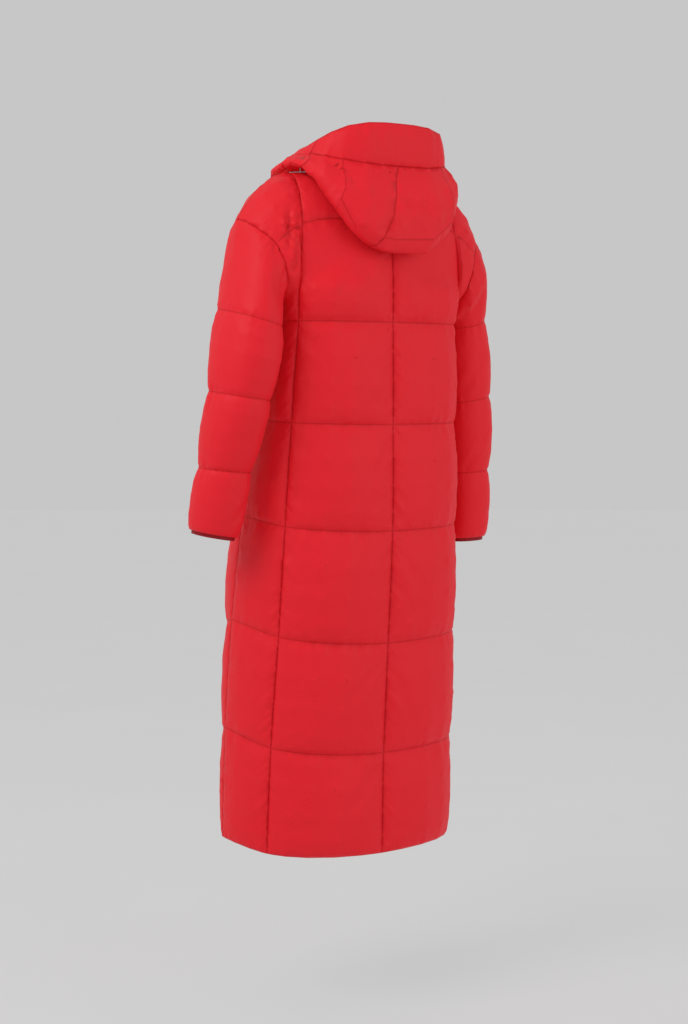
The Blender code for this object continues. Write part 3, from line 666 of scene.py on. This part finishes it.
# The hood is a bag of four lighter panels folded down on the back, with a stuffed band
# round its face edge. The panels turn under at the fold and lie on the shoulders.
HOOD_NODES = ("hood_centre_left", "hood_centre_right", "hood_side_left", "hood_side_right")
BAND_NODES = ("hood_band_left", "hood_band_back", "hood_band_right")
NECK_MIDDLE_Y = 0.035
BEARING_STEP = 0.12             # in radians
BAND_INWARD = 0.6               # the band's faces are told apart from this share of the way out
HOOD_LINE = (35.0, 51.5)        # bearings in degrees between which the line's points lie
HOOD_CROSS = (-0.101, -0.070)   # heights between which the cross line's points lie
HOOD_CROSS_LEFT = 0.03
HOOD_SINK = 0.005
BELLY_FRONT = 0.095             # the folded bag's outer cloth lies behind this
BACKWARD = 0.2                  # and faces the back at least this much
HOOD_DEPTH = 0.8                # its sag and creases are this share of the body's


def bearing_key(point):
    return round(math.atan2(point.x, point.y - NECK_MIDDLE_Y) / BEARING_STEP)


def sew_hood_lines(wall, outer, sewn):
    """Sinks the hood's lengthwise quilting line on each side, and one across its right."""
    for point in wall.verts:
        behind = point.co.y >= BELLY_FRONT and point.normal.y > BACKWARD
        if not (behind and all_marked(outer, [point])):
            continue
        bearing = abs(math.degrees(math.atan2(point.co.x, point.co.y - NECK_MIDDLE_Y)))
        lengthwise = HOOD_LINE[0] < bearing < HOOD_LINE[1]
        crosswise = (point.co.x < HOOD_CROSS_LEFT and bearing < HOOD_LINE[1]
                     and HOOD_CROSS[0] < point.co.z < HOOD_CROSS[1])
        if lengthwise or crosswise:
            point.co -= point.normal * HOOD_SINK * (1.0 - point[sewn])
            point[sewn] = 1.0


hood_pieces = {}
for node in HOOD_NODES + BAND_NODES:
    middles = slice_middles(node, bearing_key)

    def hood_middle(point):
        key = bearing_key(point)
        middle = middles[min(middles, key=lambda known: abs(known - key))]
        if node in BAND_NODES:
            neck = Vector((0.0, NECK_MIDDLE_Y, middle.z))
            return neck + (middle - neck) * BAND_INWARD
        return middle

    wall = HOOD_WALL if node in HOOD_NODES else WALL
    lines = sew_hood_lines if node.startswith("hood_centre") else None
    hood_pieces[node], runs = padded_piece(node, hood_middle, wall, lines)
    quilting += runs
for seed, (node, piece) in enumerate(hood_pieces.items(), 21):
    soften(piece, depth=HOOD_DEPTH, seed=seed)
    finish_padded(piece, node)


# The inner cuff is a short double band of plain lining that shows below each sleeve end,
# drawn in a little by its elastic. The zip's tapes are woven strips behind the fronts.
CUFF_EDGE = 0.004       # the longest edge wanted, as TAPE_EDGE is
CUFF_GATHER = 0.0006
CUFF_GATHERS_ROUND = 9.0
TAPE_EDGE = 0.012
STRIP_ROUNDS = 4


def thin_cloth(node, longest, gather):
    """The node's strip with more points and, where it is drawn in, fine upright gathers."""
    strip = packed_wall(node)
    for _ in range(STRIP_ROUNDS):
        long_edges = [edge for edge in strip.edges if edge.calc_length() > longest]
        bmesh.ops.subdivide_edges(strip, edges=long_edges, cuts=1)
        bmesh.ops.triangulate(strip, faces=[f for f in strip.faces if len(f.verts) > 3])
    strip.normal_update()
    centre = sum((v.co for v in strip.verts), Vector()) / len(strip.verts)
    for point in strip.verts:
        spoke = point.co - centre
        round_it = Vector((spoke.x, spoke.y, 0.0)).normalized()
        point.co += round_it * gather * noise.noise(round_it * CUFF_GATHERS_ROUND)
    for face in strip.faces:
        face.smooth = True
    mesh = bpy.data.meshes.new(f"{node}_cloth")
    strip.to_mesh(mesh)
    strip.free()
    piece = bpy.data.objects.new(f"{node}_cloth", mesh)
    bpy.context.scene.collection.objects.link(piece)
    return piece


for side in ("left", "right"):
    cuff = thin_cloth(f"cuff_{side}", CUFF_EDGE, CUFF_GATHER)
    # With no seam_away, the lining's painted seam shade covers the whole cuff.
    cuff.data.materials.append(lining_cloth)
    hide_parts(f"cuff_{side}")
    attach(cuff, "coat")


# The front closes with a nylon coil zip: two woven tapes sewn behind the front edges, a
# chain of moulded loops that lock down the middle, and a steel slider, tab and box.
TOOTH_PITCH = 0.0015
TOOTH_HALF_HEIGHT = 0.00055
TOOTH_HALF_DEPTH = 0.0011
TOOTH_RINGS = ((0.0026, 0.8), (0.00117, 1.0), (-0.0007, 0.55))      # how far out, its scale
TOOTH_SECTION = ((-1, 0), (-0.6, 0.8), (0.6, 0.8), (1, 0), (0.6, -0.8), (-0.6, -0.8))
COIL_SLICE = 0.004
COIL_RED = (0.42, 0.006, 0.010)
COIL_DEEP = (0.36, 0.005, 0.008)
STEEL = (0.60, 0.60, 0.62)
STEEL_DEEP = (0.48, 0.48, 0.50)
ROUGHNESS_SPREAD = 0.08

coil_line = sorted(slice_middles("zip_coil", lambda p: round(p.z / COIL_SLICE)).values(),
                   key=lambda p: p.z)


def on_coil(height):
    """The middle of the zip at a height, and the direction it runs there."""
    for low, high in zip(coil_line, coil_line[1:]):
        if height <= high.z:
            break
    share = (height - low.z) / (high.z - low.z)
    return Vector((0.0, low.y + (high.y - low.y) * share, height)), (high - low).normalized()


def skin_rings(solid, rings):
    """Joins each ring of points to the next and closes both ends."""
    for low, high in zip(rings, rings[1:]):
        for j, point in enumerate(low):
            after = (j + 1) % len(low)
            solid.faces.new((point, low[after], high[after], high[j]))
    solid.faces.new(rings[0][::-1])
    solid.faces.new(rings[-1])


def made_object(name, solid):
    """An object of the finished bmesh, its faces turned outwards."""
    bmesh.ops.recalc_face_normals(solid, faces=solid.faces[:])
    mesh = bpy.data.meshes.new(name)
    solid.to_mesh(mesh)
    solid.free()
    made = bpy.data.objects.new(name, mesh)
    bpy.context.scene.collection.objects.link(made)
    return made


for side in ("left", "right"):
    tape = thin_cloth(f"zip_tape_{side}", TAPE_EDGE, 0.0)
    # With no seam_away, the lining's painted seam shade covers the whole tape.
    tape.data.materials.append(lining_cloth)
    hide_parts(f"zip_tape_{side}")
    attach(tape, "coat")

chain = bmesh.new()
bottom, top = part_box("zip_coil")
count = int((top.z - bottom.z) / TOOTH_PITCH) * 2 - 1
for i in range(count):
    side = 1 if i % 2 else -1
    middle, along = on_coil(bottom.z + TOOTH_PITCH * (i + 1) / 2)
    forward = Vector((1.0, 0.0, 0.0)).cross(along)
    rings = []
    for x, size in TOOTH_RINGS:
        centre = middle + Vector((side * x, 0.0, 0.0))
        rings.append([chain.verts.new(centre + along * u * TOOTH_HALF_HEIGHT * size
                                      + forward * v * TOOTH_HALF_DEPTH * size)
                      for u, v in TOOTH_SECTION])
    skin_rings(chain, rings)
zip_chain = made_object("zip_chain", chain)
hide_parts("zip_coil")
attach(zip_chain, "coat")


def plain_finish(name, first, second, scale, roughness, metallic):
    """Two close shades in a fine grain, which also breaks up the gloss."""
    material = bpy.data.materials.new(name)
    material.use_nodes = True
    tree = material.node_tree
    shader = tree.nodes["Principled BSDF"]
    shader.inputs["Metallic"].default_value = metallic
    place = tree.nodes.new("ShaderNodeTexCoord")
    grain = tree.nodes.new("ShaderNodeTexNoise")
    grain.inputs["Scale"].default_value = scale
    grain.inputs["Detail"].default_value = 4.0
    shades = tree.nodes.new("ShaderNodeMix")
    shades.data_type = "RGBA"
    shades.inputs["A"].default_value = (*first, 1.0)
    shades.inputs["B"].default_value = (*second, 1.0)
    rough = tree.nodes.new("ShaderNodeMapRange")
    rough.inputs["To Min"].default_value = roughness - ROUGHNESS_SPREAD
    rough.inputs["To Max"].default_value = roughness + ROUGHNESS_SPREAD
    bump = tree.nodes.new("ShaderNodeBump")
    bump.inputs["Strength"].default_value = 0.15
    bump.inputs["Distance"].default_value = 0.0001
    tree.links.new(place.outputs["Object"], grain.inputs["Vector"])
    tree.links.new(grain.outputs["Fac"], shades.inputs["Factor"])
    tree.links.new(grain.outputs["Fac"], rough.inputs["Value"])
    tree.links.new(grain.outputs["Fac"], bump.inputs["Height"])
    tree.links.new(shades.outputs["Result"], shader.inputs["Base Color"])
    tree.links.new(rough.outputs["Result"], shader.inputs["Roughness"])
    tree.links.new(bump.outputs["Normal"], shader.inputs["Normal"])
    return material


zip_chain.data.materials.append(
    plain_finish("moulded_nylon", COIL_RED, COIL_DEEP, 500.0, 0.35, 0.0))
steel_finish = plain_finish("brushed_steel", STEEL, STEEL_DEEP, 700.0, 0.32, 1.0)
for node in ("zip_box", "zip_slider", "zip_pull_tab"):
    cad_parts[node].data.materials.clear()
    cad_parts[node].data.materials.append(steel_finish)


# Every quilting row is sewn with red thread, in straight machine stitches that lie in
# the bottom of the row's groove.
STITCH_PITCH = 0.0036
STITCH_LENGTH = 0.0027
STITCH_RADIUS = 0.00035
STITCH_LIFT = 0.0002
STITCH_RINGS = ((-0.5, 0.35), (-0.2, 1.0), (0.2, 1.0), (0.5, 0.35))     # how far on, its scale
STITCH_SECTION = ((-1, 0), (0, 1), (1, 0), (0, -1))

thread = bmesh.new()
for start, end, outward in quilting:
    run = end - start
    along = run.normalized()
    across = along.cross(outward).normalized()
    count = max(1, round(run.length / STITCH_PITCH))
    for i in range(count):
        middle = start + run * ((i + 0.5) / count) + outward * STITCH_LIFT
        rings = []
        for place, size in STITCH_RINGS:
            centre = middle + along * STITCH_LENGTH * place
            rings.append([thread.verts.new(centre + (across * x + outward * y)
                                           * STITCH_RADIUS * size)
                          for x, y in STITCH_SECTION])
        skin_rings(thread, rings)
stitches = made_object("quilting_thread", thread)
# Its grain runs from the thread's red to the shell's painted-shade red.
thread_finish = plain_finish("polyester_thread", THREAD_RED, SHELL_SHADED, 900.0, 0.5, 0.0)
stitches.data.materials.append(thread_finish)
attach(stitches, "coat")
